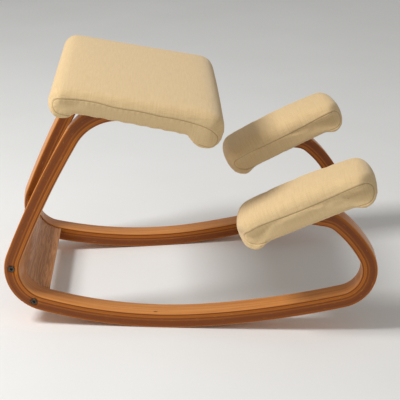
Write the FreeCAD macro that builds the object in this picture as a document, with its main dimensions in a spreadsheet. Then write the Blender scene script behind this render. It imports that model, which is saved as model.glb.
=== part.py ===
# Kneeling chair: two bentwood rocker rails, a curved cross plate,
# a padded seat and two padded knee rests, all bolted together.
# Millimetres. +X is the way the sitter faces, +Y the sitter's left, +Z up.
# The origin is on the floor, under the middle of the chair's outline.

import FreeCAD, Part
import Sketcher
import math
import os
from FreeCAD import Placement, Rotation, Vector

# Driving dimensions. Slopes and turns are in degrees, everything else in millimetres.
SIZES = {
    # rails: section, spacing and toe-out
    "rail_width": 44.0,
    "rail_thickness": 30.0,
    "rail_edge_radius": 3.0,
    "rail_half_spacing": 202.0,
    "toe_out": 5.4,
    # rails: the bent centre line, both ways from the point that touches the floor
    "contact_back": 59.7,
    "rocker_radius": 889.0,
    "rocker_back_turn": 15.2,
    "rocker_fore_turn": 5.5,
    "toe_radius": 1693.0,
    "toe_turn": 9.4,
    "front_bend_radius": 64.4,
    "front_bend_turn": 104.3,
    "arm_radius": 229.6,
    "arm_turn": 20.85,
    "knee_bend_radius": 52.0,
    "knee_tip_rise": 8.0,
    "knee_tip_length": 56.0,
    "rear_bend_radius": 72.7,
    "rear_bend_turn": 97.2,
    "post_radius": 1946.0,
    "post_turn": 7.95,
    "seat_bend_radius": 110.0,
    "seat_tip_length": 22.0,
    # cross plate and its bolts
    "plate_below": 7.5,
    "plate_short": 6.0,
    "plate_behind": 7.5,
    "plate_sunk": 2.0,
    "bolt_low_turn": 11.0,
    "bolt_high_turn": 78.0,
    "bolt_diameter": 8.0,
    "bolt_grip_in_plate": 38.0,
    "bolt_end_gap": 3.0,
    "bolt_head_diameter": 13.0,
    "bolt_head_height": 4.6,
    "bolt_head_recess": 4.2,
    "bolt_key": 5.0,
    "bolt_key_depth": 3.0,
    "barrel_diameter": 10.0,
    "barrel_length": 15.0,
    "barrel_depth": 27.0,
    # seat and knee planes, the undersides of the boards, let into the rails' ends
    "seat_slope": 12.0,
    "seat_behind_tip": 19.7,
    "seat_let_in": 18.1,
    "knee_slope": 24.8,
    "knee_ahead_of_tip": 7.5,
    "knee_let_in": 20.3,
    "knee_inboard": 11.0,
    # boards, screws and threaded inserts
    "board_thickness": 12.0,
    "board_corner": 12.0,
    "screw_diameter": 6.0,
    "screw_grip": 7.0,
    "screw_head_diameter": 12.0,
    "screw_head_height": 3.6,
    "screw_key": 4.0,
    "screw_key_depth": 2.2,
    "insert_diameter": 8.0,
    "insert_length": 9.6,
    "insert_flange_diameter": 19.0,
    "insert_flange_thickness": 1.5,
    "seat_screw_from_tip": 30.8,
    "seat_screw_pitch": 32.0,
    "knee_screw_from_tip": 9.5,
    "knee_screw_pitch": 20.0,
    # cushion covers, linings and clearances
    "cover_thickness": 2.0,
    "lining_thickness": 1.0,
    "lining_edge": 4.0,
    "skirt_wall": 7.0,
    "soft_gap": 0.3,
    "drill_gap": 0.3,
    # how far a cut runs past what it cuts
    "drill_spill": 10.0,
    "cut_reach": 90.0,
}

# Cushions: u runs fore and aft on the board's underside and n rises from it.
# A roll is a thick rounded end, and the skirt hangs below the board. The top is
# crowned across by the crown and lengthwise by the rise.
SEAT = {
    "overhang": 22.0,
    "corner": 30.0,
    "draw_in": 3.0,
    "back_roll": 29.0,
    "back_roll_u": -110.0,
    "back_roll_n": 0.0,
    "front_roll": 36.0,
    "front_roll_u": 159.0,
    "front_roll_n": 1.0,
    "skirt": 14.0,
    "shoulder": 24.0,
    "crown": 5.0,
    "rise": 0.0,
    "top_edge": 17.0,
    "low_edge": 5.0,
    "pocket_back": 77.0,
    "pocket_front": 128.0,
}
KNEE = {
    "half_width": 65.0,
    "corner": 38.0,
    "draw_in": 2.0,
    "back_roll": 30.0,
    "back_roll_u": -94.0,
    "back_roll_n": 11.0,
    "front_roll": 30.5,
    "front_roll_u": 126.5,
    "front_roll_n": 10.0,
    "skirt": 11.0,
    "shoulder": 22.0,
    "crown": 6.5,
    "rise": 6.0,
    "top_edge": 19.0,
    "low_edge": 5.0,
    "pocket_back": 66.0,
    "pocket_front": 98.0,
}

# Where the cushion's cross-sections stand: degrees round each roll, counted from
# its top, and shares of the way between the two shoulders.
ROLL_STEPS = (68.0, 42.0, 20.0, 0.0)
MIDDLE_STEPS = (0.0, 0.25, 0.5, 0.75, 1.0)

# A cross-section's roundings take no more than these shares of its height.
TOP_SHARE = 0.45
LOW_SHARE = 0.2

SIDES = (("right", -1), ("left", 1))
AXES = {"x": Vector(1, 0, 0), "y": Vector(0, 1, 0), "z": Vector(0, 0, 1)}

# lengths closer than this count as equal
SAME = 0.01

doc = FreeCAD.newDocument("KneelingChair")
sheet = doc.addObject("Spreadsheet::Sheet", "sizes")
row = 0
for prefix, group in (("", SIZES), ("seat_pad_", SEAT), ("knee_pad_", KNEE)):
    for word, value in group.items():
        row += 1
        sheet.set("A%d" % row, prefix + word)
        sheet.set("B%d" % row, str(value))
        sheet.setAlias("B%d" % row, prefix + word)
doc.recompute()

bodies = []


# Helpers


def turned(axis, degrees):
    return Rotation(AXES[axis], degrees)


def shifted(frame, distance):
    """A frame moved along its own Z axis."""
    return frame.multiply(Placement(Vector(0, 0, distance), Rotation()))


def new_body(label, placement):
    body = doc.addObject("PartDesign::Body", label)
    body.Label = label
    body.Placement = placement
    bodies.append(body)
    return body


def new_sketch(body, role, offset=Placement()):
    """A sketch on one of the body's own origin planes."""
    plane = [part for part in body.Origin.OriginFeatures if part.Role == role][0]
    sketch = body.newObject("Sketcher::SketchObject", body.Label + "_sketch")
    sketch.AttachmentSupport = [(plane, "")]
    sketch.MapMode = "FlatFace"
    sketch.AttachmentOffset = offset
    return sketch


def draw_loop(sketch, edges):
    """Adds edges that follow each other round a closed outline, joined at their ends."""
    ids = [sketch.addGeometry(edge, False) for edge in edges]
    ends = [(edge.StartPoint, edge.EndPoint) for edge in edges]
    for number, edge_id in enumerate(ids):
        after = (number + 1) % len(ids)
        joins = []
        for mine in (0, 1):
            for other in (0, 1):
                gap = ends[number][mine].distanceToPoint(ends[after][other])
                joins.append((gap, mine + 1, other + 1))
        _, mine, other = min(joins)
        sketch.addConstraint(Sketcher.Constraint("Coincident", edge_id, mine, ids[after], other))
    return ids


def polygon(points):
    corners = [Vector(x, y, 0) for x, y in points]
    return [Part.LineSegment(a, b) for a, b in zip(corners, corners[1:] + corners[:1])]


def extrude(body, kind, sketch, length, both_ways=True):
    """A Pad or Pocket whose length is an expression on the sheet."""
    feature = body.newObject("PartDesign::" + kind, body.Label + "_" + kind.lower())
    feature.Profile = sketch
    feature.setExpression("Length", length)
    if both_ways:
        feature.SideType = "Symmetric"
    doc.recompute()
    return feature


def round_edges(body, names, radius):
    base = body.Tip
    feature = body.newObject("PartDesign::Fillet", body.Label + "_rounding")
    feature.Base = (base, names)
    feature.setExpression("Radius", radius)
    doc.recompute()


def cylinder(body, kind, frame, diameter, height):
    """An Additive or Subtractive cylinder that rises from a frame given in the chair's frame."""
    feature = body.newObject("PartDesign::%sCylinder" % kind, body.Label + "_" + kind.lower())
    feature.setExpression("Radius", "(%s) / 2" % diameter)
    feature.setExpression("Height", height)
    feature.Placement = body.Placement.inverse().multiply(frame)


def drill(body, frame, word, depth):
    """A hole a little wider than the named diameter, rising from the frame."""
    cylinder(body, "Subtractive", frame, "sizes.%s + 2 * sizes.drill_gap" % word, depth)


def hex_socket(body, frame, key, depth):
    feature = body.newObject("PartDesign::SubtractivePrism", body.Label + "_socket")
    feature.Polygon = 6
    feature.setExpression("Circumradius", key + " / sqrt(3)")
    feature.setExpression("Height", depth)
    feature.Placement = body.Placement.inverse().multiply(frame)


# The rail's centre line, in the rail's own upright plane: arcs as (radius, turn)
# and straight runs as (None, length), each following on from the last


def track(start, heading, pieces):
    """Pieces walked forwards, all turning left, with the point and heading reached."""
    found = []
    x, z = start
    for radius, amount in pieces:
        angle = math.radians(heading)
        if radius is None:
            found.append(("run", (x, z), heading, amount))
            x += amount * math.cos(angle)
            z += amount * math.sin(angle)
            continue
        centre = (x - radius * math.sin(angle), z + radius * math.cos(angle))
        found.append(("arc", centre, radius, heading, heading + amount))
        heading += amount
        angle = math.radians(heading)
        x = centre[0] + radius * math.sin(angle)
        z = centre[1] - radius * math.cos(angle)
    return found, (x, z)


def track_back(start, heading, pieces):
    """Pieces walked backwards, listed in forward order, with the point reached."""
    found = []
    x, z = start
    for radius, amount in pieces:
        angle = math.radians(heading)
        if radius is None:
            x -= amount * math.cos(angle)
            z -= amount * math.sin(angle)
            found.insert(0, ("run", (x, z), heading, amount))
            continue
        centre = (x - radius * math.sin(angle), z + radius * math.cos(angle))
        found.insert(0, ("arc", centre, radius, heading - amount, heading))
        heading -= amount
        angle = math.radians(heading)
        x = centre[0] + radius * math.sin(angle)
        z = centre[1] - radius * math.cos(angle)
    return found, (x, z)


def offset_edges(pieces, distance):
    """The pieces moved to the left of the way they run, or right by a minus distance."""
    edges = []
    for piece in pieces:
        if piece[0] == "run":
            _, (x, z), heading, length = piece
            angle = math.radians(heading)
            start = Vector(x - distance * math.sin(angle), z + distance * math.cos(angle), 0)
            end = start + Vector(length * math.cos(angle), length * math.sin(angle), 0)
            edges.append(Part.LineSegment(start, end))
        else:
            _, (x, z), radius, first, last = piece
            circle = Part.Circle(Vector(x, z, 0), Vector(0, 0, 1), radius - distance)
            edges.append(Part.ArcOfCircle(circle, math.radians(first - 90), math.radians(last - 90)))
    return edges


def strip_outline(pieces, outside, inside):
    """A strip along the pieces as one closed outline, reaching so far out of the bends and into them."""
    outer = offset_edges(pieces, -outside)
    inner = offset_edges(pieces, inside)
    front = Part.LineSegment(outer[-1].EndPoint, inner[-1].EndPoint)
    back = Part.LineSegment(inner[0].StartPoint, outer[0].StartPoint)
    return outer + [front] + inner[::-1] + [back]


def bind_radius(sketch, edge_id, words):
    """Ties an arc of a strip's outline to a radius worked out from the sheet."""
    radius = sketch.Geometry[edge_id].Radius
    number = sketch.addConstraint(Sketcher.Constraint("Radius", edge_id, radius))
    sketch.setExpression("Constraints[%d]" % number, words)


half_thickness = SIZES["rail_thickness"] / 2
contact = (-SIZES["contact_back"], half_thickness)
fore_words = ("rocker_fore_turn", "toe_turn", "front_bend_turn", "arm_turn", "knee_tip_rise")
back_words = ("rocker_back_turn", "rear_bend_turn", "post_turn")
rocker_back = (SIZES["rocker_radius"], SIZES["rocker_back_turn"])
rear_bend = (SIZES["rear_bend_radius"], SIZES["rear_bend_turn"])
fore_pieces, knee_tip = track(contact, 0.0, [
    (SIZES["rocker_radius"], SIZES["rocker_fore_turn"]),
    (SIZES["toe_radius"], SIZES["toe_turn"]),
    (SIZES["front_bend_radius"], SIZES["front_bend_turn"]),
    (SIZES["arm_radius"], SIZES["arm_turn"]),
    (SIZES["knee_bend_radius"], 180.0 - sum(SIZES[word] for word in fore_words)),
    (None, SIZES["knee_tip_length"]),
])
back_pieces, seat_tip = track_back(contact, 0.0, [
    rocker_back,
    rear_bend,
    (SIZES["post_radius"], SIZES["post_turn"]),
    (SIZES["seat_bend_radius"], 180.0 - sum(SIZES[word] for word in back_words)),
    (None, SIZES["seat_tip_length"]),
])
rail_pieces = back_pieces + fore_pieces

# the sheet's word for each piece's radius, in the same order
RADIUS_WORDS = (
    "", "seat_bend_radius", "post_radius", "rear_bend_radius", "rocker_radius", "rocker_radius",
    "toe_radius", "front_bend_radius", "arm_radius", "knee_bend_radius", "",
)
_, bend_centre, bend_radius, _, bend_last = back_pieces[RADIUS_WORDS.index("rear_bend_radius")]

# Frames of the rails, the cushions and the fasteners

seat_x = seat_tip[0] - SIZES["seat_behind_tip"]
seat_z = seat_tip[1] + half_thickness - SIZES["seat_let_in"]
seat_rise = math.tan(math.radians(SIZES["seat_slope"]))
knee_along = knee_tip[0] + SIZES["knee_ahead_of_tip"]
knee_z = knee_tip[1] + half_thickness - SIZES["knee_let_in"]
knee_rise = math.tan(math.radians(SIZES["knee_slope"]))


def rail_frame(side):
    return Placement(Vector(0, side * SIZES["rail_half_spacing"], 0), turned("z", side * SIZES["toe_out"]))


def seat_frame():
    return Placement(Vector(seat_x, 0, seat_z), turned("y", SIZES["seat_slope"]))


def knee_frame(side):
    place = Vector(knee_along, -side * SIZES["knee_inboard"], knee_z)
    return rail_frame(side).multiply(Placement(place, turned("y", -SIZES["knee_slope"])))


def seat_screw_frame(side, from_tip):
    point = rail_frame(side).multVec(Vector(seat_tip[0] - from_tip, 0, 0))
    place = Vector(point.x, point.y, seat_z - (point.x - seat_x) * seat_rise)
    return Placement(place, turned("y", SIZES["seat_slope"]))


def knee_screw_frame(side, from_tip):
    along = knee_tip[0] + from_tip
    place = Vector(along, 0, knee_z + (along - knee_along) * knee_rise)
    return rail_frame(side).multiply(Placement(place, turned("y", -SIZES["knee_slope"])))


def bolt_frames(side, turn):
    """The bolt on the rail's outer face and the barrel nut's middle."""
    angle = bend_last - 90 - turn
    x = bend_centre[0] + bend_radius * math.cos(math.radians(angle))
    z = bend_centre[1] + bend_radius * math.sin(math.radians(angle))
    face_y = SIZES["rail_width"] / 2
    nut_y = -face_y - SIZES["barrel_depth"]
    outer_face = Placement(Vector(x, side * face_y, z), turned("x", side * 90))
    nut_middle = Placement(Vector(x, side * nut_y, z), turned("y", 90 - angle))
    return rail_frame(side).multiply(outer_face), rail_frame(side).multiply(nut_middle)


screws = []
bolts = []
for side_name, side in SIDES:
    for place_name, steps in (("rear", 1), ("front", 0)):
        from_tip = SIZES["seat_screw_from_tip"] + steps * SIZES["seat_screw_pitch"]
        screws.append((side_name + "_seat", place_name, side, seat_screw_frame(side, from_tip)))
    for place_name, steps in (("rear", 0), ("front", 1)):
        from_tip = SIZES["knee_screw_from_tip"] + steps * SIZES["knee_screw_pitch"]
        screws.append((side_name + "_knee", place_name, side, knee_screw_frame(side, from_tip)))
    for place_name, word in (("lower", "bolt_low_turn"), ("upper", "bolt_high_turn")):
        bolts.append((side_name, place_name, side) + bolt_frames(side, SIZES[word]))


# Rails


def cut_land(body, x, z, rise, offset):
    """Cuts away what stands above a sloping plane, as seen from the side."""
    reach = SIZES["cut_reach"]
    land = new_sketch(body, "XZ_Plane", offset)
    draw_loop(land, polygon([
        (x - reach, z - reach * rise),
        (x + reach, z + reach * rise),
        (x + reach, z + reach * rise + reach),
        (x - reach, z - reach * rise + reach),
    ]))
    extrude(body, "Pocket", land, "sizes.rail_width * 3")


def long_edges(body):
    """The rail's edges that run along its length, without the short ones across its ends."""
    side_y = SIZES["rail_width"] / 2
    back_to_body = body.Placement.inverse()
    names = []
    for number, edge in enumerate(body.Shape.Edges):
        first = back_to_body.multVec(edge.Vertexes[0].Point)
        last = back_to_body.multVec(edge.Vertexes[-1].Point)
        on_a_face = abs(abs(first.y) - side_y) < SAME and abs(first.y - last.y) < SAME
        is_straight = edge.Curve.TypeId == "Part::GeomLine"
        across_end = is_straight and abs(edge.Length - SIZES["rail_thickness"]) < SAME
        if on_a_face and not across_end:
            names.append("Edge%d" % (number + 1))
    return names


def make_rail(side_name, side):
    body = new_body(side_name + "_rail", rail_frame(side))
    sketch = new_sketch(body, "XZ_Plane")
    ids = draw_loop(sketch, strip_outline(rail_pieces, half_thickness, half_thickness))
    count = len(rail_pieces)
    outer_ids, inner_ids = ids[:count], ids[count + 1:-1][::-1]
    for word, outer_id, inner_id in zip(RADIUS_WORDS, outer_ids, inner_ids):
        if word:
            bind_radius(sketch, outer_id, "sizes.%s + sizes.rail_thickness / 2" % word)
            bind_radius(sketch, inner_id, "sizes.%s - sizes.rail_thickness / 2" % word)
    extrude(body, "Pad", sketch, "sizes.rail_width")
    round_edges(body, long_edges(body), "sizes.rail_edge_radius")

    # the seat's land is square to the chair, the knee's to the rail
    cut_land(body, seat_x, seat_z, -seat_rise, Placement(Vector(), turned("y", -side * SIZES["toe_out"])))
    cut_land(body, knee_along, knee_z, knee_rise, Placement())

    spill = SIZES["drill_spill"]
    for _, _, bolt_side, outer_face, _ in bolts:
        if bolt_side == side:
            start = shifted(outer_face, -spill)
            drill(body, start, "bolt_diameter", "sizes.rail_width + 2 * sizes.drill_spill")
            drill(body, start, "bolt_head_diameter", "sizes.drill_spill + sizes.bolt_head_recess")
    for _, _, screw_side, frame in screws:
        if screw_side == side:
            start = shifted(frame, -SIZES["rail_thickness"] - spill)
            drill(body, start, "screw_diameter", "sizes.rail_thickness + 2 * sizes.drill_spill")
            start = shifted(start, -SIZES["screw_grip"])
            drill(body, start, "screw_head_diameter", "sizes.rail_thickness + sizes.drill_spill")


# Cross plate, bolts and barrel nuts


def make_cross_plate():
    """A curved plate that follows the rails' rear bend, set in from both their faces."""
    toe = math.radians(SIZES["toe_out"])
    shift = SIZES["rail_width"] / 2 * math.sin(toe) - bend_centre[0] * (1 - math.cos(toe))
    body = new_body("cross_plate", Placement(Vector(shift, 0, 0), Rotation()))
    _, bend_end = track_back(contact, 0.0, [rocker_back])
    below_turn = math.degrees(SIZES["plate_below"] / SIZES["rocker_radius"])
    short_turn = math.degrees(SIZES["plate_short"] / SIZES["rear_bend_radius"])
    heading = -SIZES["rocker_back_turn"]
    _, start = track(bend_end, heading, [(SIZES["rocker_radius"], below_turn)])
    pieces, _ = track_back(start, heading + below_turn, [
        (SIZES["rocker_radius"], below_turn),
        (SIZES["rear_bend_radius"], SIZES["rear_bend_turn"] - short_turn),
    ])
    sketch = new_sketch(body, "XZ_Plane")
    behind = half_thickness - SIZES["plate_behind"]
    ahead = half_thickness - SIZES["plate_sunk"]
    ids = draw_loop(sketch, strip_outline(pieces, behind, ahead))
    outer_bend, inner_bend = ids[0], ids[4]
    half = "sizes.rail_thickness / 2"
    bind_radius(sketch, outer_bend, "sizes.rear_bend_radius + %s - sizes.plate_behind" % half)
    bind_radius(sketch, inner_bend, "sizes.rear_bend_radius - %s + sizes.plate_sunk" % half)
    extrude(body, "Pad", sketch, "sizes.rail_half_spacing * 2")

    inner_y = SIZES["rail_half_spacing"] - SIZES["rail_width"] / 2 / math.cos(toe)
    far_y = SIZES["rail_half_spacing"] * 2
    back_x, front_x = -far_y, 0.0
    for _, side in SIDES:
        trim = new_sketch(body, "XY_Plane")
        draw_loop(trim, polygon([
            (back_x, side * (inner_y + (back_x + shift) * math.tan(toe))),
            (front_x, side * (inner_y + (front_x + shift) * math.tan(toe))),
            (front_x, side * far_y),
            (back_x, side * far_y),
        ]))
        extrude(body, "Pocket", trim, "sizes.rail_half_spacing * 4")
    for _, _, _, outer_face, nut_middle in bolts:
        start = shifted(outer_face, SIZES["rail_width"] - SIZES["drill_spill"])
        depth = "sizes.drill_spill + sizes.bolt_grip_in_plate + sizes.bolt_end_gap"
        drill(body, start, "bolt_diameter", depth)
        start = shifted(nut_middle, -SIZES["barrel_length"] / 2 - SIZES["drill_gap"])
        drill(body, start, "barrel_diameter", "sizes.barrel_length / 2 + sizes.rail_thickness")


def make_bolt(label, outer_face):
    """A socket-head bolt, its head let into the rail's outer face."""
    body = new_body(label, outer_face)
    head_top = shifted(outer_face, SIZES["bolt_head_recess"] - SIZES["bolt_head_height"])
    cylinder(body, "Additive", head_top, "sizes.bolt_head_diameter", "sizes.bolt_head_height")
    length = "sizes.bolt_head_height + sizes.rail_width - sizes.bolt_head_recess + sizes.bolt_grip_in_plate"
    cylinder(body, "Additive", head_top, "sizes.bolt_diameter", length)
    hex_socket(body, head_top, "sizes.bolt_key", "sizes.bolt_key_depth")


def make_barrel_nut(label, nut_middle, outer_face):
    start = shifted(nut_middle, -SIZES["barrel_length"] / 2)
    body = new_body(label, start)
    cylinder(body, "Additive", start, "sizes.barrel_diameter", "sizes.barrel_length")
    hole_start = SIZES["rail_width"] + SIZES["barrel_depth"] - SIZES["drill_spill"]
    cylinder(body, "Subtractive", shifted(outer_face, hole_start),
             "sizes.bolt_diameter + sizes.drill_gap", "2 * sizes.drill_spill")


# Screws, threaded inserts and boards


def make_screw(label, frame):
    """A socket-head screw, its head in the rail and its thread in the board's insert."""
    body = new_body(label, frame)
    head_top = shifted(frame, -SIZES["screw_grip"] - SIZES["screw_head_height"])
    cylinder(body, "Additive", head_top, "sizes.screw_head_diameter", "sizes.screw_head_height")
    cylinder(body, "Additive", head_top, "sizes.screw_diameter",
             "sizes.screw_head_height + sizes.screw_grip + sizes.board_thickness")
    hex_socket(body, head_top, "sizes.screw_key", "sizes.screw_key_depth")


def make_insert(label, frame):
    """A flanged threaded insert, let into the top of the board."""
    body = new_body(label, frame)
    board = SIZES["board_thickness"]
    cylinder(body, "Additive", shifted(frame, board - SIZES["insert_length"]),
             "sizes.insert_diameter", "sizes.insert_length")
    cylinder(body, "Additive", shifted(frame, board - SIZES["insert_flange_thickness"]),
             "sizes.insert_flange_diameter", "sizes.insert_flange_thickness")
    cylinder(body, "Subtractive", shifted(frame, -SIZES["drill_spill"]),
             "sizes.screw_diameter + sizes.drill_gap", "sizes.board_thickness + 2 * sizes.drill_spill")


def pocket_outline(pad, half_width, gap):
    """The hollow under a cushion, or with a gap the board that lies in it."""
    half = half_width - SIZES["skirt_wall"] - gap
    back_u, front_u = gap - pad["pocket_back"], pad["pocket_front"] - gap
    return polygon([(back_u, -half), (front_u, -half), (front_u, half), (back_u, half)])


def make_board(label, frame, pad, half_width, board_screws):
    body = new_body(label, frame)
    sketch = new_sketch(body, "XY_Plane")
    draw_loop(sketch, pocket_outline(pad, half_width, SIZES["soft_gap"]))
    extrude(body, "Pad", sketch, "sizes.board_thickness", both_ways=False)
    upright = []
    for number, edge in enumerate(body.Shape.Edges):
        if abs(edge.Length - SIZES["board_thickness"]) < SAME:
            upright.append("Edge%d" % (number + 1))
    round_edges(body, upright, "sizes.board_corner")
    for screw in board_screws:
        start = shifted(screw, -SIZES["drill_spill"])
        drill(body, start, "insert_diameter", "sizes.board_thickness + 2 * sizes.drill_spill")
        start = shifted(screw, SIZES["board_thickness"] - SIZES["insert_flange_thickness"])
        drill(body, start, "insert_flange_diameter", "sizes.insert_flange_thickness + sizes.drill_spill")


# Cushions


def cushion_stations(pad, half_width, inset):
    """Stations along u as (u, half width, top, low) of the cushion's surface, moved in by the inset."""
    back_u, back_n, back_roll = pad["back_roll_u"], pad["back_roll_n"], pad["back_roll"]
    front_u, front_n, front_roll = pad["front_roll_u"], pad["front_roll_n"], pad["front_roll"]
    back_end, front_end = back_u - back_roll, front_u + front_roll
    slope = (front_n + front_roll - back_n - back_roll) / (front_u - back_u)

    def half_at(u):
        from_middle = (2 * u - back_end - front_end) / (front_end - back_end)
        full = half_width - pad["draw_in"] * (1 - from_middle * from_middle)
        short = max(0.0, pad["corner"] - min(u - back_end, front_end - u))
        return full - pad["corner"] + math.sqrt(pad["corner"] ** 2 - short ** 2) - inset

    def roll_station(sign, middle_u, middle_n, roll, step):
        along = math.sin(math.radians(step))
        reach = (roll - inset) * math.cos(math.radians(step))
        return (middle_u + sign * (roll - inset) * along, half_at(middle_u + sign * roll * along),
                middle_n + reach, middle_n - reach)

    stations = [roll_station(-1, back_u, back_n, back_roll, step) for step in ROLL_STEPS]
    first, last = back_u + pad["shoulder"], front_u - pad["shoulder"]
    for step in MIDDLE_STEPS:
        u = first + (last - first) * step
        share = (u - back_u) / (front_u - back_u)
        top = back_n + back_roll + slope * (u - back_u) + 4 * pad["rise"] * share * (1 - share) - inset
        stations.append((u, half_at(u), top, inset - pad["skirt"]))
    for step in reversed(ROLL_STEPS):
        stations.append(roll_station(1, front_u, front_n, front_roll, step))
    return stations


def section_edges(pad, inset, half, top, low):
    """A crowned cross-section with rounded edges, drawn in the plane across u."""
    height = top - low
    full_height = pad["skirt"] + pad["back_roll_n"] + pad["back_roll"]
    upper = min(pad["top_edge"] - inset, height * TOP_SHARE)
    lower = min(pad["low_edge"] - inset, height * LOW_SHARE)
    crown = pad["crown"] * min(1.0, height / full_height)

    def rounding(x, y, start, radius):
        circle = Part.Circle(Vector(x, y, 0), Vector(0, 0, 1), radius)
        return Part.ArcOfCircle(circle, math.radians(start), math.radians(start + 90))

    return [
        Part.LineSegment(Vector(-half + lower, low, 0), Vector(half - lower, low, 0)),
        rounding(half - lower, low + lower, -90, lower),
        Part.LineSegment(Vector(half, low + lower, 0), Vector(half, top - upper, 0)),
        rounding(half - upper, top - upper, 0, upper),
        Part.Arc(Vector(half - upper, top, 0), Vector(0, top + crown, 0), Vector(-half + upper, top, 0)),
        rounding(-half + upper, top - upper, 90, upper),
        Part.LineSegment(Vector(-half, top - upper, 0), Vector(-half, low + lower, 0)),
        rounding(-half + lower, low + lower, 180, lower),
    ]


def loft(body, kind, pad, half_width, inset):
    sketches = []
    for u, half, top, low in cushion_stations(pad, half_width, inset):
        sketch = new_sketch(body, "YZ_Plane", Placement(Vector(0, 0, u), Rotation()))
        draw_loop(sketch, section_edges(pad, inset, half, top, low))
        sketches.append(sketch)
    doc.recompute()
    feature = body.newObject("PartDesign::%sLoft" % kind, body.Label + "_" + kind.lower() + "_loft")
    feature.Profile = sketches[0]
    feature.Sections = sketches[1:]
    doc.recompute()


def cut_board_pocket(body, pad, half_width):
    """The board's pocket, cut from the top of the board down through the skirt."""
    roof = SIZES["board_thickness"] + SIZES["soft_gap"]
    sketch = new_sketch(body, "XY_Plane", Placement(Vector(0, 0, roof), Rotation()))
    draw_loop(sketch, pocket_outline(pad, half_width, 0.0))
    extrude(body, "Pocket", sketch, "sizes.cut_reach", both_ways=False)


def make_foam(label, frame, pad, half_width):
    body = new_body(label, frame)
    loft(body, "Additive", pad, half_width, SIZES["cover_thickness"] + SIZES["soft_gap"])
    cut_board_pocket(body, pad, half_width)


def make_cover(label, frame, pad, half_width):
    body = new_body(label, frame)
    loft(body, "Additive", pad, half_width, 0.0)
    loft(body, "Subtractive", pad, half_width, SIZES["cover_thickness"])
    cut_board_pocket(body, pad, half_width)


def make_lining(label, frame, outline):
    """Thin cloth stapled flat under the board."""
    body = new_body(label, shifted(frame, -SIZES["lining_thickness"]))
    sketch = new_sketch(body, "XY_Plane")
    draw_loop(sketch, polygon(outline))
    extrude(body, "Pad", sketch, "sizes.lining_thickness", both_ways=False)


def make_cushion(name, frame, pad, half_width, lining_outline):
    cushion_screws = [screw[3] for screw in screws if screw[0].endswith(name)]
    make_board(name + "_board", frame, pad, half_width, cushion_screws)
    make_foam(name + "_foam", frame, pad, half_width)
    make_cover(name + "_cover", frame, pad, half_width)
    make_lining(name + "_lining", frame, lining_outline)


def seat_lining_outline():
    """A rectangle between the rails' inner faces, where they are closest."""
    edge = SIZES["lining_edge"]
    rear_screw = seat_tip[0] - SIZES["seat_screw_from_tip"] - SIZES["seat_screw_pitch"]
    past_screw = Vector(rear_screw - SIZES["screw_head_diameter"], -SIZES["rail_width"] / 2, 0)
    inner_face = rail_frame(1).multVec(past_screw).y
    half = inner_face - edge
    back_u, front_u = edge - SEAT["pocket_back"], SEAT["pocket_front"] - edge
    return [(back_u, -half), (front_u, -half), (front_u, half), (back_u, half)]


def knee_lining_outline(side):
    """Nearly the whole board, notched round the rail's end."""
    edge = SIZES["lining_edge"]
    half = KNEE["half_width"] - SIZES["skirt_wall"] - edge
    back_u, front_u = edge - KNEE["pocket_back"], KNEE["pocket_front"] - edge
    notch_u = -SIZES["knee_ahead_of_tip"] - half_thickness - edge
    outer_slot = SIZES["knee_inboard"] + SIZES["rail_width"] / 2 + edge
    inner_slot = SIZES["knee_inboard"] - SIZES["rail_width"] / 2 - edge
    return [
        (back_u, -side * half),
        (front_u, -side * half),
        (front_u, side * inner_slot),
        (notch_u, side * inner_slot),
        (notch_u, side * outer_slot),
        (front_u, side * outer_slot),
        (front_u, side * half),
        (back_u, side * half),
    ]


for side_name, side in SIDES:
    make_rail(side_name, side)
make_cross_plate()
for side_name, place_name, _, outer_face, nut_middle in bolts:
    make_bolt("%s_%s_bolt" % (side_name, place_name), outer_face)
    make_barrel_nut("%s_%s_barrel_nut" % (side_name, place_name), nut_middle, outer_face)
seat_half_width = SIZES["rail_half_spacing"] + SEAT["overhang"]
make_cushion("seat", seat_frame(), SEAT, seat_half_width, seat_lining_outline())
for side_name, side in SIDES:
    make_cushion(side_name + "_knee", knee_frame(side), KNEE, KNEE["half_width"], knee_lining_outline(side))
for group_name, place_name, _, frame in screws:
    make_screw("%s_%s_screw" % (group_name, place_name), frame)
    make_insert("%s_%s_insert" % (group_name, place_name), frame)

doc.recompute()
faults = []
for thing in doc.Objects:
    if "Invalid" in thing.State or "Error" in thing.State:
        faults.append(thing.Name)
for body in bodies:
    if body.Shape.isNull() or not body.Shape.isValid() or len(body.Shape.Solids) != 1:
        faults.append(body.Label)
if faults:
    raise SystemExit("failed: " + ", ".join(faults))

os.makedirs("parts", exist_ok=True)
for body in bodies:
    body.Shape.exportStep("parts/%s.step" % body.Label)
    print("%-28s %10.0f mm3" % (body.Label, body.Shape.Volume))
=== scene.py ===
import math

import bmesh
import bpy
import numpy as np
from mathutils import Matrix, Vector


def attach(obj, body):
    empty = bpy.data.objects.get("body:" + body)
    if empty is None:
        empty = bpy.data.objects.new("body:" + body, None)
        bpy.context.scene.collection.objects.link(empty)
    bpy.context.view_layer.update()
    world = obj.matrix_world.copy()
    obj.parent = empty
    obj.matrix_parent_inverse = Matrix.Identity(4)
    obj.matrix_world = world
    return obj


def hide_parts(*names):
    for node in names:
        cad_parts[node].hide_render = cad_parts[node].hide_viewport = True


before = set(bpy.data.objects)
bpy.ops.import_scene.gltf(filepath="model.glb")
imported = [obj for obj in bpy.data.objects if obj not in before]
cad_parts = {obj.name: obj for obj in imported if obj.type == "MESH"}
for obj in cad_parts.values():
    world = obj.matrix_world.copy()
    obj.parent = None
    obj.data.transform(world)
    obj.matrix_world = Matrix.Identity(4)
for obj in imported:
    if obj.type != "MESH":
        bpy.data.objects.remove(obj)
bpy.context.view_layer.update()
scene = bpy.context.scene
print("frame loaded,", len(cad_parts), "nodes")


# Shader nodes as plain expressions

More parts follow.
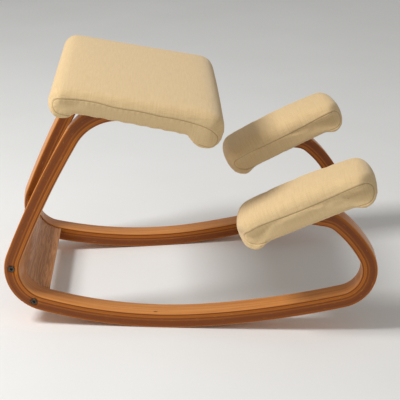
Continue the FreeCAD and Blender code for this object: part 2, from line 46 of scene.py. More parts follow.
class Wire:
    def __init__(self, finish, socket):
        self.finish, self.socket = finish, socket

    def maths(self, operation, *others):
        return self.finish.node("Math", {"operation": operation}, dict(enumerate((self,) + others)))

    def __add__(self, other):
        return self.maths("ADD", other)

    def __sub__(self, other):
        return self.maths("SUBTRACT", other)

    def __rsub__(self, other):
        return (self * -1.0).maths("ADD", other)

    def __mul__(self, other):
        return self.maths("MULTIPLY", other)

    def __truediv__(self, other):
        return self.maths("DIVIDE", other)

    __radd__ = __add__
    __rmul__ = __mul__


class Finish:
    def __init__(self, name, **constants):
        self.material = bpy.data.materials.new(name)
        self.material.use_nodes = True
        self.tree = self.material.node_tree
        self.shader = self.tree.nodes["Principled BSDF"]
        for word, value in constants.items():
            self.shader.inputs[word.replace("_", " ")].default_value = value

    def node(self, kind, settings=None, sockets=None, out=0):
        made = self.tree.nodes.new("ShaderNode" + kind)
        for word, value in (settings or {}).items():
            if word == "stops":
                ramp = made.color_ramp.elements
                while len(ramp) < len(value):
                    ramp.new(0.5)
                for stop, (place, colour) in zip(ramp, value):
                    stop.position, stop.color = place, (*colour, 1.0)
            else:
                setattr(made, word, value)
        for place, value in (sockets or {}).items():
            self.join(value, made.inputs[place])
        return Wire(self, made.outputs[out])

    def join(self, value, socket):
        if isinstance(value, Wire):
            self.tree.links.new(value.socket, socket)
        else:
            socket.default_value = value

    def parts(self, vector):
        split = self.node("SeparateXYZ", {}, {0: vector}).socket.node
        return [Wire(self, split.outputs[place]) for place in range(3)]

    def set(self, **links):
        for word, value in links.items():
            self.join(value, self.shader.inputs[word.replace("_", " ")])

    def noise(self, vector, scale, detail=2.0, roughness=0.5):
        sockets = {"Vector": vector, "Scale": scale, "Detail": detail, "Roughness": roughness}
        return self.node("TexNoise", {}, sockets)

    def stretch(self, vector, scale):
        return self.node("Mapping", {}, {"Vector": vector, "Scale": scale})

    def span(self, value, low, high):
        # 0 below low, 1 above high and smooth between them
        sockets = {0: value, 1: low, 2: high, 3: 0.0, 4: 1.0}
        return self.node("MapRange", {"interpolation_type": "SMOOTHSTEP"}, sockets)

    def mix(self, factor, first, second):
        return self.node("Mix", {"data_type": "RGBA"}, {0: factor, 6: first, 7: second}, out=2)

    def bump(self, height, distance, strength):
        return self.node("Bump", {}, {"Height": height, "Distance": distance, "Strength": strength})


def colour(red, green, blue):
    # from the 0 to 255 of a picture to the shader's own linear values
    def linear(part):
        part /= 255
        return part / 12.92 if part <= 0.04045 else ((part + 0.055) / 1.055) ** 2.4
    return (linear(red), linear(green), linear(blue), 1.0)


# Wood of the rails, the cross plate and the boards

railLooks = {
    "layer": 0.0029,
    "middle": 0.0,
    "half": 0.015,
    # edge colours for the rails' cut sides: partly their own deeper orange, partly painted shade on sides
    # that face away from the light
    "edgeDark": colour(132, 64, 2),
    "edgeLight": colour(192, 108, 10),
    "glue": colour(88, 40, 2),
    "faceDark": colour(194, 116, 46),
    "faceLight": colour(228, 158, 86),
    "fleck": colour(232, 172, 84),
    "wave": 0.0,
    "rings": 95.0,
    "gloss": 0.4,
    "coat": 0.18,
}
plateLooks = dict(railLooks, middle=0.00275, half=0.01025, faceDark=colour(186, 122, 70),
                  faceLight=colour(222, 160, 104), wave=0.4)
boardLooks = {
    "layer": 0.0015,
    "middle": 0.006,
    "half": 0.006,
    "edgeDark": colour(150, 112, 70),
    "edgeLight": colour(214, 184, 138),
    "glue": colour(96, 66, 40),
    "faceDark": colour(204, 172, 126),
    "faceLight": colour(228, 202, 160),
    "fleck": colour(236, 214, 176),
    "wave": 0.15,
    "rings": 95.0,
    "gloss": 0.55,
    "coat": 0.0,
}


def layeredWood(name, looks, knot=None):
    # the layers show where the piece is cut across them, and a face veneer on its two broad faces; the cut
    # sides are coloured darker than the broad faces, partly their own deeper tone and partly painted shade
    wood = Finish(name, Coat_Weight=looks["coat"], Coat_Roughness=0.14, Specular_IOR_Level=0.25)
    grain = wood.node("Attribute", {"attribute_name": "grain"}, out=1)
    along, lateral, across = wood.parts(grain)
    wander = wood.noise(wood.stretch(grain, (7.0, 40.0, 40.0)), 1.0) - 0.5
    depth = (lateral + wander * 0.0016) / looks["layer"]
    inLayer = (depth.maths("FRACT") - 0.5).maths("ABSOLUTE")
    tone = wood.node("TexWhiteNoise", {"noise_dimensions": "1D"}, {"W": depth.maths("FLOOR")})
    pores = wood.noise(wood.stretch(grain, (26.0, 1300.0, 1300.0)), 1.0, 3.0, 0.6)
    streaks = wood.noise(wood.stretch(grain, (5.0, 260.0, 200.0)), 1.0, 4.0, 0.65)
    flecks = wood.span(wood.noise(wood.stretch(grain, (60.0, 700.0, 500.0)), 1.0, 2.0), 0.66, 0.76)
    shade = wood.span(streaks * 0.6 + tone * 0.5 + pores * 0.2, 0.4, 0.95)
    edge = wood.mix(shade, looks["edgeDark"], looks["edgeLight"])
    glue = wood.span(inLayer, 0.36, 0.5) * wood.span(streaks, 0.35, 0.6)
    edge = wood.mix(glue * 0.6, edge, looks["glue"])
    edge = wood.mix(wood.span(pores, 0.62, 0.72) * 0.45, edge, looks["glue"])
    rings = ((across * looks["rings"] + streaks * 3.0 + wander * 6.0) * 6.283).maths("SINE") * 0.5 + 0.5
    figure = streaks * (1.0 - looks["wave"]) + rings * looks["wave"]
    face = wood.mix(wood.span(figure + pores * 0.3, 0.35, 0.95), looks["faceDark"], looks["faceLight"])
    face = wood.mix(wood.span(pores, 0.6, 0.72) * 0.35, face, looks["edgeDark"])
    fromMiddle = (lateral - looks["middle"]).maths("ABSOLUTE")
    onFace = wood.span(fromMiddle, looks["half"] - 0.0018, looks["half"] - 0.0007)
    # painted shade: the cut sides come out darker than the broad faces, on top of their own deeper tone
    base = wood.mix(onFace, edge, face)
    base = wood.mix(flecks * 0.5, base, looks["fleck"])
    if knot is not None:
        aside = ((along - knot[0]) * 0.55).maths("POWER", 2.0) + (across - knot[2]).maths("POWER", 2.0)
        spot = 1.0 - wood.span(aside.maths("SQRT"), 0.0008, 0.0034)
        base = wood.mix(spot * onFace * 0.85, base, looks["glue"])
    wood.set(Base_Color=base, Roughness=looks["gloss"] + (pores - 0.5) * 0.2)
    wood.set(Normal=wood.bump(pores * 0.4 + streaks * 0.4 - glue * 0.5, 0.00025, 0.5))
    return wood.material


# The rail's centre line, from the tip under the seat to the tip under the knee pad: straights as
# (length, None) and arcs as (radius, turn), in millimetres and degrees
railLine = {
    "start": (-104.158, 440.094),
    "heading": 180.0,
    "runs": [(22.0, None), (110.0, 59.65), (1946.0, 7.95), (72.7, 97.2), (889.0, 20.7), (1693.0, 9.4),
             (64.4, 104.3), (229.6, 20.85), (52.0, 31.95), (56.0, None)],
    "toeOut": 5.4,
    "halfSpacing": 202.0,
}
meshStep = {"longest": 0.012, "halvings": 7}


def railRuns():
    point = np.array(railLine["start"])
    heading = math.radians(railLine["heading"])
    along, runs = 0.0, []
    for size, turn in railLine["runs"]:
        forward = np.array((math.cos(heading), math.sin(heading)))
        left = np.array((-forward[1], forward[0]))
        if turn is None:
            runs.append(("straight", point, forward, left, size, along))
            point = point + forward * size
            along += size
        else:
            middle = point + left * size
            runs.append(("arc", middle, heading, math.radians(turn), size, along))
            heading += math.radians(turn)
            point = middle + np.array((math.sin(heading), -math.cos(heading))) * size
            along += size * math.radians(turn)
    return runs


def railGrain(places, side):
    # where points lie in the strip before it was bent: along, through the layers and across
    turn = math.radians(railLine["toeOut"])
    x, y = places[:, 0] * 1000, side * places[:, 1] * 1000 - railLine["halfSpacing"]
    across = y * math.cos(turn) - x * math.sin(turn)
    flat = np.stack((x * math.cos(turn) + y * math.sin(turn), places[:, 2] * 1000), axis=1)
    nearest = np.full(len(places), 1e9)
    grain = np.stack((across, across, across), axis=1)
    for kind, first, second, third, size, along in railRuns():
        away = flat - first
        if kind == "straight":
            run, lateral = away @ second, away @ third
            gap = np.hypot(run - np.clip(run, 0, size), lateral)
        else:
            turned = (np.arctan2(away[:, 0], -away[:, 1]) - second + math.pi) % (2 * math.pi) - math.pi
            held = second + np.clip(turned, 0, third)
            gap = np.hypot(away[:, 0] - size * np.sin(held), away[:, 1] + size * np.cos(held))
            run, lateral = size * turned, size - np.hypot(away[:, 0], away[:, 1])
        closer = gap < nearest
        nearest[closer] = gap[closer]
        grain[closer, 0] = (along + run)[closer]
        grain[closer, 1] = lateral[closer]
    return grain / 1000


def woodenCopy(nodeName, pieceName, material, grainOf):
    bm = bmesh.new()
    bm.from_mesh(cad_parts[nodeName].data)
    bmesh.ops.remove_doubles(bm, verts=bm.verts, dist=1e-6)
    for halving in range(meshStep["halvings"]):
        long = [edge for edge in bm.edges if edge.calc_length() > meshStep["longest"]]
        if not long:
            break
        bmesh.ops.subdivide_edges(bm, edges=long, cuts=1)
        bmesh.ops.triangulate(bm, faces=[face for face in bm.faces if len(face.verts) > 3])
    mesh = bpy.data.meshes.new(pieceName)
    bm.to_mesh(mesh)
    bm.free()
    piece = bpy.data.objects.new(pieceName, mesh)
    scene.collection.objects.link(piece)
    grain = mesh.attributes.new("grain", "FLOAT_VECTOR", "POINT")
    grain.data.foreach_set("vector", grainOf(np.array([v.co for v in mesh.vertices])).ravel())
    mesh.shade_smooth()
    mesh.set_sharp_from_angle(angle=math.radians(32))
    mesh.materials.append(material)
    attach(piece, "root")
    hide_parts(nodeName)
    print(pieceName + ":", len(mesh.polygons), "faces")


# the small knot on top of the near rail, and a shift that gives the far rail another stretch of grain
knotPlace = railGrain(np.array([(-0.0681, -0.2078, 0.0346)]), -1)[0]
otherGrain = (0.31, 0, 0)
woodenCopy("right_rail", "rightRail", layeredWood("rightRailWood", railLooks, knotPlace),
           lambda places: railGrain(places, -1))
woodenCopy("left_rail", "leftRail", layeredWood("leftRailWood", railLooks),
           lambda places: railGrain(places, 1) + otherGrain)

plateBend = {"middle": (-0.2737, 0.1163), "radius": 0.0727}


def plateGrain(places):
    # the plate's grain runs from rail to rail, and its layers follow the bend
    radius = plateBend["radius"]
    x, z = places[:, 0] - plateBend["middle"][0], places[:, 2] - plateBend["middle"][1]
    return np.stack((places[:, 1], radius - np.hypot(x, z), radius * np.arctan2(z, -x)), axis=1)


woodenCopy("cross_plate", "crossPlate", layeredWood("plateWood", plateLooks), plateGrain)


# Cushions: one cloth panel over the top and both rolls, with a side panel sewn in at each side

seatPad = {
    "origin": (-123.86, 0.0, 436.99),
    "slope": 12.0,
    "heading": 0.0,
    "halfWidth": 223.6,
    "corner": 20.0,
    "drawIn": 3.0,
    "backRoll": (-109.7, 0.2, 28.4),
    "frontRoll": (159.0, 1.1, 35.5),
    "skirt": 14.6,
    "crown": 5.0,
    "rise": 0.0,
    "topEdge": 18.0,
    "lowEdge": 5.0,
    "voxel": 0.0055,
    "cap": 0.0016,
    "pocket": (-77.0, 128.0, 216.9),
    "seam": [(-86, -17), (-109, -18), (-121, -13), (-126.5, -1), (-119.7, 8.4), (-97, 13.5), (-52, 16),
             (-14, 13.3), (31, 14.6), (69, 13.4), (106, 13.8), (144, 11), (163, 7), (174, 1), (182, -8),
             (180, -20), (170, -27), (150, -26)],
}
kneePad = {
    "slope": -24.8,
    "halfWidth": 64.8,
    "corner": 37.0,
    "drawIn": 2.0,
    "backRoll": (-94.3, 10.7, 29.6),
    "frontRoll": (126.6, 9.9, 30.2),
    "skirt": 11.2,
    "crown": 6.4,
    "rise": 6.2,
    "topEdge": 18.0,
    "lowEdge": 5.0,
    "voxel": 0.0045,
    "cap": 0.0016,
    "pocket": (-66.0, 98.0, 57.9),
    "seam": [(-72, -8), (-92, -6), (-106, 2), (-110, 12), (-103, 21.5), (-88, 25.5), (-66, 27), (-20, 25.6),
             (30, 25.3), (74, 26.8), (112, 28.7), (129, 28), (139, 23.5), (146, 13), (146, 3), (140, -7),
             (128, -11), (112, -9)],
    "ahead": 211.12,
    "height": 240.0,
    "inboard": 11.0,
}
# millimetres; the pocket is cut from below up to its roof, over the board
stitch = {
    "groove": 0.6,
    "ridge": 0.5,
    "pucker": 0.22,
    "pitch": 10.5,
    "puff": 1.4,
    "roof": 12.3,
    "below": -80.0,
}
wool = {
    "light": colour(238, 208, 158),
    "dark": colour(220, 188, 136),
    # painted shade for the crease along each seam
    "seam": colour(168, 136, 88),
    "threads": 220.0,
}


def woolCloth(name):
    cloth = Finish(name, Roughness=0.92, Sheen_Weight=0.2, Sheen_Roughness=0.5)
    uv = cloth.node("UVMap", {"uv_map": "cloth"})
    seam = cloth.node("Attribute", {"attribute_name": "seam"}, out=2)
    threads = {"Vector": uv, "Scale": wool["threads"], "Distortion": 1.0}
    warp = cloth.node("TexWave", {"bands_direction": "X"}, threads)
    weft = cloth.node("TexWave", {"bands_direction": "Y"}, threads)
    melange = cloth.noise(uv, 700.0, 3.0, 0.65)
    slubs = cloth.noise(cloth.stretch(uv, (420.0, 26.0, 1.0)), 1.0, 2.0, 0.5)
    hair = cloth.noise(cloth.stretch(uv, (60.0, 900.0, 1.0)), 1.0, 2.0, 0.5)
    shade = cloth.span(melange * 0.5 + slubs * 0.3 + hair * 0.2, 0.3, 0.7)
    base = cloth.mix(shade, wool["dark"], wool["light"])
    # painted shade: a thin darker line along the seam's crease
    line = 1.0 - cloth.span(seam.maths("ABSOLUTE"), 0.0003, 0.0012)
    cloth.set(Base_Color=cloth.mix(line * 0.6, base, wool["seam"]))
    cloth.set(Normal=cloth.bump(warp * weft + melange + slubs * 0.5, 0.0004, 0.6))
    return cloth.material


def padMatrix(pad):
    # u runs fore and aft, v across, n up from the board's underside, all in millimetres
    slope, heading = math.radians(pad["slope"]), math.radians(pad["heading"])
    along = Vector((math.cos(heading), math.sin(heading), 0))
    v = Vector((-math.sin(heading), math.cos(heading), 0))
    u = along * math.cos(slope) - Vector((0, 0, 1)) * math.sin(slope)
    n = along * math.sin(slope) + Vector((0, 0, 1)) * math.cos(slope)
    place = Matrix((u, v, n)).transposed().to_4x4()
    place.translation = Vector(pad["origin"])
    return Matrix.Scale(0.001, 4) @ place


def padProfile(pad):
    # the side outline, clockwise from where the skirt meets the back roll
    (backU, backN, back), (frontU, frontN, front) = pad["backRoll"], pad["frontRoll"]
    low = -pad["skirt"]
    points = []
    start = math.degrees(math.asin((low - backN) / back))
    for step in range(19):
        turn = math.radians(start - (start + 270) * step / 18)
        points.append((backU + back * math.cos(turn), backN + back * math.sin(turn)))
    for step in range(1, 14):
        share = step / 14
        lift = 4 * pad["rise"] * share * (1 - share)
        straight = backN + back + (frontN + front - backN - back) * share
        points.append((backU + (frontU - backU) * share, straight + lift))
    end = -180 - math.degrees(math.asin((low - frontN) / front))
    for step in range(19):
        turn = math.radians(90 + (end - 90) * step / 18)
        points.append((frontU + front * math.cos(turn), frontN + front * math.sin(turn)))
    first, last = points[0][0], points[-1][0]
    for step in range(1, 12):
        points.append((last + (first - last) * step / 12, low))
    return points


def halfAt(pad, u):
    backEnd = pad["backRoll"][0] - pad["backRoll"][2]
    frontEnd = pad["frontRoll"][0] + pad["frontRoll"][2]
    middle = (2 * u - backEnd - frontEnd) / (frontEnd - backEnd)
    full = pad["halfWidth"] - pad["drawIn"] * (1 - middle * middle)
    corner = pad["corner"]
    short = min(corner, max(0.0, corner - min(u - backEnd, frontEnd - u)))
    return full - corner + math.sqrt(corner ** 2 - short ** 2)


def padForm(pad):
    outline = padProfile(pad)
    count = len(outline)
    middleN = 0.5 * (pad["backRoll"][1] + pad["frontRoll"][1])
    inward = []
    for i in range(count):
        before, after = Vector(outline[i - 1]), Vector(outline[(i + 1) % count])
        run = (after - before).normalized()
        inward.append(Vector((run.y, -run.x)))
    bm = bmesh.new()
    number = bm.verts.layers.int.new("number")
    steps = [(-1, angle) for angle in (90, 70, 52, 35, 18)]
    steps += [(0, share) for share in (-1.0, -0.75, -0.5, -0.25, 0.0, 0.25, 0.5, 0.75, 1.0)]
    steps += [(1, angle) for angle in (18, 35, 52, 70, 90)]

    def place(i, step):
        u, n = outline[i]
        up = min(1.0, max(0.0, (n + 4) / 20))
        radius = pad["lowEdge"] + (pad["topEdge"] - pad["lowEdge"]) * up
        half = halfAt(pad, u)
        side, amount = step
        if side == 0:
            v, inset = amount * (half - radius), 0.0
        else:
            turn = math.radians(amount)
            v, inset = side * (half - radius + radius * math.sin(turn)), radius * (1 - math.cos(turn))
        u, n = u + inward[i].x * inset, n + inward[i].y * inset
        if n > middleN:
            n += pad["crown"] * (1 - (v / half) ** 2) * min(1.0, (n - middleN) / 15)
        return Vector((u, v, n))

    first = [bm.verts.new(place(i, steps[0])) for i in range(count)]
    for i, v in enumerate(first):
        v[number] = i
    face = bm.faces.new(first)
    for step in steps[1:]:
        made = bmesh.ops.extrude_face_region(bm, geom=[face])["geom"]
        face = next(g for g in made if isinstance(g, bmesh.types.BMFace))
        for g in made:
            if isinstance(g, bmesh.types.BMVert):
                g.co = place(g[number], step)
    bmesh.ops.recalc_face_normals(bm, faces=bm.faces)
    return bm


def applied(piece):
    # bakes the piece's modifiers into its mesh
    bpy.context.view_layer.update()
    seen = piece.evaluated_get(bpy.context.evaluated_depsgraph_get())
    mesh = bpy.data.meshes.new_from_object(seen)
    piece.modifiers.clear()
    piece.data = mesh


def swell(piece, cap):
    # the cloth also draws itself in as a whole, so that part is taken off and its unevenness stays
    before = np.array([v.co for v in piece.data.vertices])
    cloth = piece.modifiers.new("swell", "CLOTH")
    cloth.settings.use_pressure = True
    cloth.settings.uniform_pressure_force = 4.0
    cloth.settings.effector_weights.gravity = 0.0
    cloth.point_cache.frame_start, cloth.point_cache.frame_end = 1, 20
    for tick in range(1, 21):
        scene.frame_set(tick)
    applied(piece)
    scene.frame_set(1)
    after = np.array([v.co for v in piece.data.vertices])
    outward = np.array([v.normal for v in piece.data.vertices])
    move = after - before
    move -= outward * np.median((move * outward).sum(axis=1))
    length = np.linalg.norm(move, axis=1, keepdims=True)
    move *= np.minimum(1.0, cap / np.maximum(length, 1e-9))
    piece.data.vertices.foreach_set("co", (before + move).ravel())
    piece.data.update()


def smoothLine(points, steps=6):
    # a smooth curve through the points, as a chain of short straights
    held = [points[0]] + points + [points[-1]]
    line = [points[0]]
    for before, here, after, beyond in zip(held, held[1:], held[2:], held[3:]):
        for step in range(1, steps + 1):
            t = step / steps
            pulls = ((before, -t + 2 * t * t - t ** 3), (here, 2 - 5 * t * t + 3 * t ** 3),
                     (after, t + 4 * t * t - 3 * t ** 3), (beyond, t ** 3 - t * t))
            line.append(tuple(sum(pull * point[axis] for point, pull in pulls) / 2 for axis in (0, 1)))
    return line


def toLine(points, line):
    # signed distance from the line in the side view, above it positive, and the run along it
    line = np.array(line, float)
    nearest = np.full(len(points), 1e9)
    signed, along = np.zeros(len(points)), np.zeros(len(points))
    run = 0.0
    for a, b in zip(line[:-1], line[1:]):
        span = b - a
        length = float(np.hypot(*span))
        share = np.clip(((points - a) @ span) / length ** 2, 0, 1)
        away = points - a - share[:, None] * span
        gap = np.hypot(away[:, 0], away[:, 1])
        side = np.sign(span[0] * away[:, 1] - span[1] * away[:, 0])
        closer = gap < nearest
        nearest[closer] = gap[closer]
        signed[closer] = (gap * side)[closer]
        along[closer] = run + share[closer] * length
        run += length
    return signed, along


def makeCushion(name, pad, material, nodes):
    place = padMatrix(pad)
    back = place.inverted()
    bm = padForm(pad)
    bm.transform(place)
    mesh = bpy.data.meshes.new(name)
    bm.to_mesh(mesh)
    bm.free()
    piece = bpy.data.objects.new(name, mesh)
    scene.collection.objects.link(piece)
    remesh = piece.modifiers.new("even", "REMESH")
    remesh.mode, remesh.voxel_size = "VOXEL", pad["voxel"]
    applied(piece)
    swell(piece, pad["cap"])
    rounder = piece.modifiers.new("rounder", "SUBSURF")
    rounder.levels = rounder.render_levels = 1
    applied(piece)
    sewSeams(piece, pad, place, back)
    cutPocket(piece, pad, place)
    clothLayers(piece, pad, back)
    piece.data.shade_smooth()
    piece.data.materials.clear()
    piece.data.materials.append(material)
    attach(piece, "root")
    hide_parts(*nodes)
    print(name + ":", len(piece.data.polygons), "faces")


def sewSeams(piece, pad, place, back):
    # a fine groove along each side's seam, a ridge above it and small puckers below, and puffed ends
    seam = smoothLine(pad["seam"])
    bm = bmesh.new()
    bm.from_mesh(piece.data)
    bm.transform(back)
    for reach in (7.0, 3.0):
        places = np.array([(edge.verts[0].co + edge.verts[1].co) / 2 for edge in bm.edges])
        wanted = np.abs(places[:, 1]) > pad["halfWidth"] - 32
        wanted[wanted] = np.abs(toLine(places[wanted][:, [0, 2]], seam)[0]) < reach
        bmesh.ops.subdivide_edges(bm, edges=[edge for edge, keep in zip(bm.edges, wanted) if keep], cuts=1)
        bmesh.ops.triangulate(bm, faces=[face for face in bm.faces if len(face.verts) > 4])
    bm.normal_update()
    places = np.array([v.co for v in bm.verts])
    signed, along = toLine(places[:, [0, 2]], seam)
    push = np.zeros(len(signed))
    for middle, width, height in ((0.0, 1.1, -stitch["groove"]), (2.6, 1.5, stitch["ridge"])):
        push += height * np.exp(-((signed - middle) / width) ** 2)
    pucker = np.sin(along * 2 * math.pi / stitch["pitch"]) * np.exp(-((signed + 3.5) / 3.0) ** 2)
    push += stitch["pucker"] * pucker
    for u, n, roll in (pad["backRoll"], pad["frontRoll"]):
        gap = np.hypot(places[:, 0] - u, places[:, 2] - n)
        push += stitch["puff"] * np.exp(-(gap / (0.6 * roll)) ** 2)
    push *= np.clip((np.abs(places[:, 1]) - (pad["halfWidth"] - 34)) / 6, 0, 1)
    for v, amount in zip(bm.verts, push):
        v.co += v.normal * float(amount)
    bm.transform(place)
    bm.to_mesh(piece.data)
    bm.free()


def cutPocket(piece, pad, place):
    backU, frontU, half = pad["pocket"]
    low, roof = stitch["below"], stitch["roof"]
    bm = bmesh.new()
    bmesh.ops.create_cube(bm, size=1.0)
    bmesh.ops.scale(bm, verts=bm.verts, vec=(frontU - backU, 2 * half, roof - low))
    bmesh.ops.translate(bm, verts=bm.verts, vec=((frontU + backU) / 2, 0, (roof + low) / 2))
    bm.transform(place)
    mesh = bpy.data.meshes.new("pocketCutter")
    bm.to_mesh(mesh)
    bm.free()
    cutter = bpy.data.objects.new("pocketCutter", mesh)
    scene.collection.objects.link(cutter)
    cut = piece.modifiers.new("pocket", "BOOLEAN")
    cut.operation, cut.solver, cut.object = "DIFFERENCE", "EXACT", cutter
    applied(piece)
    bpy.data.objects.remove(cutter)
    bpy.data.meshes.remove(mesh)


def clothLayers(piece, pad, back):
    # the cloth's own coordinates in metres, and the distance from the seam
    mesh = piece.data
    places = np.array([back @ v.co for v in mesh.vertices])
    signed, _ = toLine(places[:, [0, 2]], smoothLine(pad["seam"]))
    onSide = np.abs(places[:, 1]) > pad["halfWidth"] - 34
    layer = mesh.attributes.new("seam", "FLOAT", "POINT")
    layer.data.foreach_set("value", np.where(onSide, signed / 1000, 0.05))
    outline = padProfile(pad)
    _, along = toLine(places[:, [0, 2]], outline + outline[:1])
    uv = mesh.uv_layers.new(name="cloth")
    for face in mesh.polygons:
        corners = list(face.vertices)
        panel = onSide[corners].all() and signed[corners].mean() < 0
        for loop, corner in zip(face.loop_indices, corners):
            u, v, n = places[corner] / 1000
            uv.data[loop].uv = (u, n) if panel else (along[corner] / 1000, v)


# Boards, and the linings stapled flat under them

def boardGrain(pad):
    back = np.array(padMatrix(pad).inverted())
    return lambda places: (places @ back[:3, :3].T + back[:3, 3])[:, [0, 2, 1]] / 1000


lining = {
    "thickness": 0.6,
    "middle": -0.55,
    "hem": 7.0,
    "hemDrop": 0.1,
    "ripple": 0.12,
    "spacing": 4.0,
    "edge": 4.0,
    "seatHalf": 159.3,
    "kneeHalf": 54.0,
    "notchBack": -26.5,
    "notchOuter": 37.0,
    "notchInner": -15.0,
    "dark": colour(24, 24, 26),
    "light": colour(62, 61, 60),
}


def liningCloth():
    cloth = Finish("liningCloth", Roughness=0.95)
    spot = cloth.node("TexCoord", out=3)
    fibres = cloth.noise(spot, 900.0, 3.0, 0.7)
    clumps = cloth.noise(spot, 120.0, 2.0, 0.5)
    cloth.set(Base_Color=cloth.mix(fibres * 0.6 + clumps * 0.4, lining["dark"], lining["light"]))
    cloth.set(Normal=cloth.bump(fibres, 0.0003, 0.7))
    return cloth.material


def makeLining(name, pad, corners, material, board):
    # a flat cut of cloth with a folded hem, a little uneven where it is pulled tight
    place = padMatrix(pad)
    bm = bmesh.new()
    bm.faces.new([bm.verts.new((u, v, lining["middle"])) for u, v in corners])
    area = bm.faces[:][0].calc_area() / 1e6
    width, length = (max(c[k] for c in corners) - min(c[k] for c in corners) for k in (1, 0))
    for axis in (0, 1):
        low, high = min(c[axis] for c in corners), max(c[axis] for c in corners)
        count = math.ceil((high - low) / lining["spacing"])
        for step in range(1, count):
            spot, along = [0.0, 0.0, 0.0], [0.0, 0.0, 0.0]
            spot[axis], along[axis] = low + (high - low) * step / count, 1.0
            whole = bm.verts[:] + bm.edges[:] + bm.faces[:]
            bmesh.ops.bisect_plane(bm, geom=whole, plane_co=spot, plane_no=along)
    rim = np.array([v.co for v in bm.verts if v.is_boundary])
    for v in bm.verts:
        gap = min(np.hypot(rim[:, 0] - v.co.x, rim[:, 1] - v.co.y))
        wave = math.sin(v.co.x * 0.11 + 1.7 * math.sin(v.co.y * 0.045))
        v.co.z += lining["ripple"] * wave * min(1.0, gap / 20)
        v.co.z -= lining["hemDrop"] if gap < lining["hem"] else 0.0
    bm.transform(place)
    mesh = bpy.data.meshes.new(name)
    bm.to_mesh(mesh)
    bm.free()
    piece = bpy.data.objects.new(name, mesh)
    scene.collection.objects.link(piece)
    thick = piece.modifiers.new("thickness", "SOLIDIFY")
    thick.thickness, thick.offset = lining["thickness"] / 1000, 0.0
    mesh.shade_smooth()
    mesh.materials.append(material)
    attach(piece, "root")
    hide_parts(board.replace("_board", "_lining"))
    width / 1000
    length / 1000
    print(name + ":", len(mesh.polygons), "faces")


def seatLiningCorners():
    half = lining["seatHalf"]
    back, front = seatPad["pocket"][0] + lining["edge"], seatPad["pocket"][1] - lining["edge"]
    return [(back, -half), (front, -half), (front, half), (back, half)]


def kneeLiningCorners(side):
    # nearly the whole board, notched round the rail's end
    half, notch = lining["kneeHalf"], lining["notchBack"]
    outer, inner = lining["notchOuter"], lining["notchInner"]
    back, front = kneePad["pocket"][0] + lining["edge"], kneePad["pocket"][1] - lining["edge"]
    return [(back, -side * half), (front, -side * half), (front, side * inner), (notch, side * inner),
            (notch, side * outer), (front, side * outer), (front, side * half), (back, side * half)]


woolMaterial, liningMaterial = woolCloth("woolCloth"), liningCloth()
boardWood = layeredWood("boardWood", boardLooks)
makeCushion("seatCushion", seatPad, woolMaterial, ("seat_cover", "seat_foam"))
woodenCopy("seat_board", "seatBoard", boardWood, boardGrain(seatPad))
makeLining("seatLining", seatPad, seatLiningCorners(), liningMaterial, "seat_board")
for sideName, side in (("right", -1), ("left", 1)):
    turn = math.radians(railLine["toeOut"])
    ahead = Vector((math.cos(turn), side * math.sin(turn), 0))
    across = Vector((-side * math.sin(turn), math.cos(turn), 0))
    origin = Vector((0, side * railLine["halfSpacing"], kneePad["height"])) + ahead * kneePad["ahead"]
    origin -= across * side * kneePad["inboard"]
    pad = dict(kneePad, origin=tuple(origin), heading=side * railLine["toeOut"])
    nodeName = sideName + "_knee"
    makeCushion(sideName + "KneeCushion", pad, woolMaterial, (nodeName + "_cover", nodeName + "_foam"))
    woodenCopy(nodeName + "_board", sideName + "KneeBoard", boardWood, boardGrain(pad))
    makeLining(sideName + "KneeLining", pad, kneeLiningCorners(side), liningMaterial, nodeName + "_board")


# Metal parts keep their CAD shapes and get a finish

def worn(name, dark, light, roughness):
    metal = Finish(name, Metallic=1.0)
    spot = metal.node("TexCoord", out=3)
    haze = metal.noise(spot, 240.0, 4.0, 0.6)
    marks = metal.noise(metal.stretch(spot, (900.0, 900.0, 4000.0)), 1.0, 2.0, 0.5)
    metal.set(Base_Color=metal.mix(metal.span(haze, 0.3, 0.7), dark, light))
    metal.set(Roughness=roughness + (haze - 0.5) * 0.3)
    metal.set(Normal=metal.bump(marks, 0.00005, 0.4))
    return metal.material


boltSteel = worn("boltSteel", colour(58, 52, 48), colour(96, 88, 80), 0.38)
zincSteel = worn("zincSteel", colour(168, 166, 158), colour(206, 204, 196), 0.34)
finishes = {"_bolt": boltSteel, "_barrel_nut": zincSteel, "_screw": zincSteel, "_insert": zincSteel}
for nodeName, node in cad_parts.items():
    for ending, metal in finishes.items():
        if nodeName.endswith(ending):
            for holder in node.material_slots:
                holder.material = metal
print("metal parts finished")


# Floor, light and camera

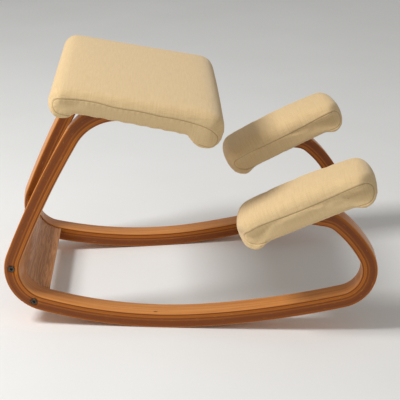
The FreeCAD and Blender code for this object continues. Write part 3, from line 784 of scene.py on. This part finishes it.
floor = {"size": 14.0, "light": colour(246, 246, 245), "dark": colour(238, 238, 236)}
light = {
    "skyColour": (1.0, 0.99, 0.97, 1.0),
    "sky": 0.36,
    "keyPlace": (-1.9, -0.55, 2.7),
    "keyAim": (0.0, 0.0, 0.2),
    "keySize": 0.9,
    "keyPower": 78.0,
}
# metres and degrees: yaw turns from +Y toward +X, and pitch looks down
view = {
    "place": (-0.0604, -2.13955, 1.04246),
    "yaw": 2.372,
    "pitch": 21.889,
    "sensor": 36.0,
    "lens": 99.0,
    "far": 60.0,
}
floorFinish = Finish("paleFloor", Roughness=0.8)
spot = floorFinish.node("TexCoord", out=3)
floorFinish.set(Base_Color=floorFinish.mix(floorFinish.noise(spot, 3.0), floor["light"], floor["dark"]))
bm = bmesh.new()
bmesh.ops.create_grid(bm, x_segments=4, y_segments=4, size=floor["size"] / 2)
floorMesh = bpy.data.meshes.new("studioFloor")
bm.to_mesh(floorMesh)
bm.free()
studioFloor = bpy.data.objects.new("studioFloor", floorMesh)
studioFloor.data.materials.append(floorFinish.material)
scene.collection.objects.link(studioFloor)

world = scene.world or bpy.data.worlds.new("studio")
scene.world = world
world.use_nodes = True
sky = world.node_tree.nodes["Background"]
sky.inputs["Color"].default_value = light["skyColour"]
sky.inputs["Strength"].default_value = light["sky"]

lamp = bpy.data.lights.new("key", "AREA")
lamp.shape, lamp.size, lamp.energy = "SQUARE", light["keySize"], light["keyPower"]
keyLight = bpy.data.objects.new("key", lamp)
keyLight.location = light["keyPlace"]
beam = Vector(light["keyAim"]) - Vector(light["keyPlace"])
keyLight.rotation_euler = beam.to_track_quat("-Z", "Y").to_euler()
scene.collection.objects.link(keyLight)

lens = bpy.data.cameras.new("camera")
lens.sensor_width, lens.lens = view["sensor"], view["lens"]
lens.clip_end = view["far"]
camera = bpy.data.objects.new("camera", lens)
yaw, pitch = math.radians(view["yaw"]), math.radians(view["pitch"])
ahead = Vector((math.sin(yaw) * math.cos(pitch), math.cos(yaw) * math.cos(pitch), -math.sin(pitch)))
camera.location = view["place"]
camera.rotation_euler = ahead.to_track_quat("-Z", "Y").to_euler()
scene.collection.objects.link(camera)
scene.camera = camera
scene.view_settings.view_transform = "Standard"
print("stage, lights and camera set")
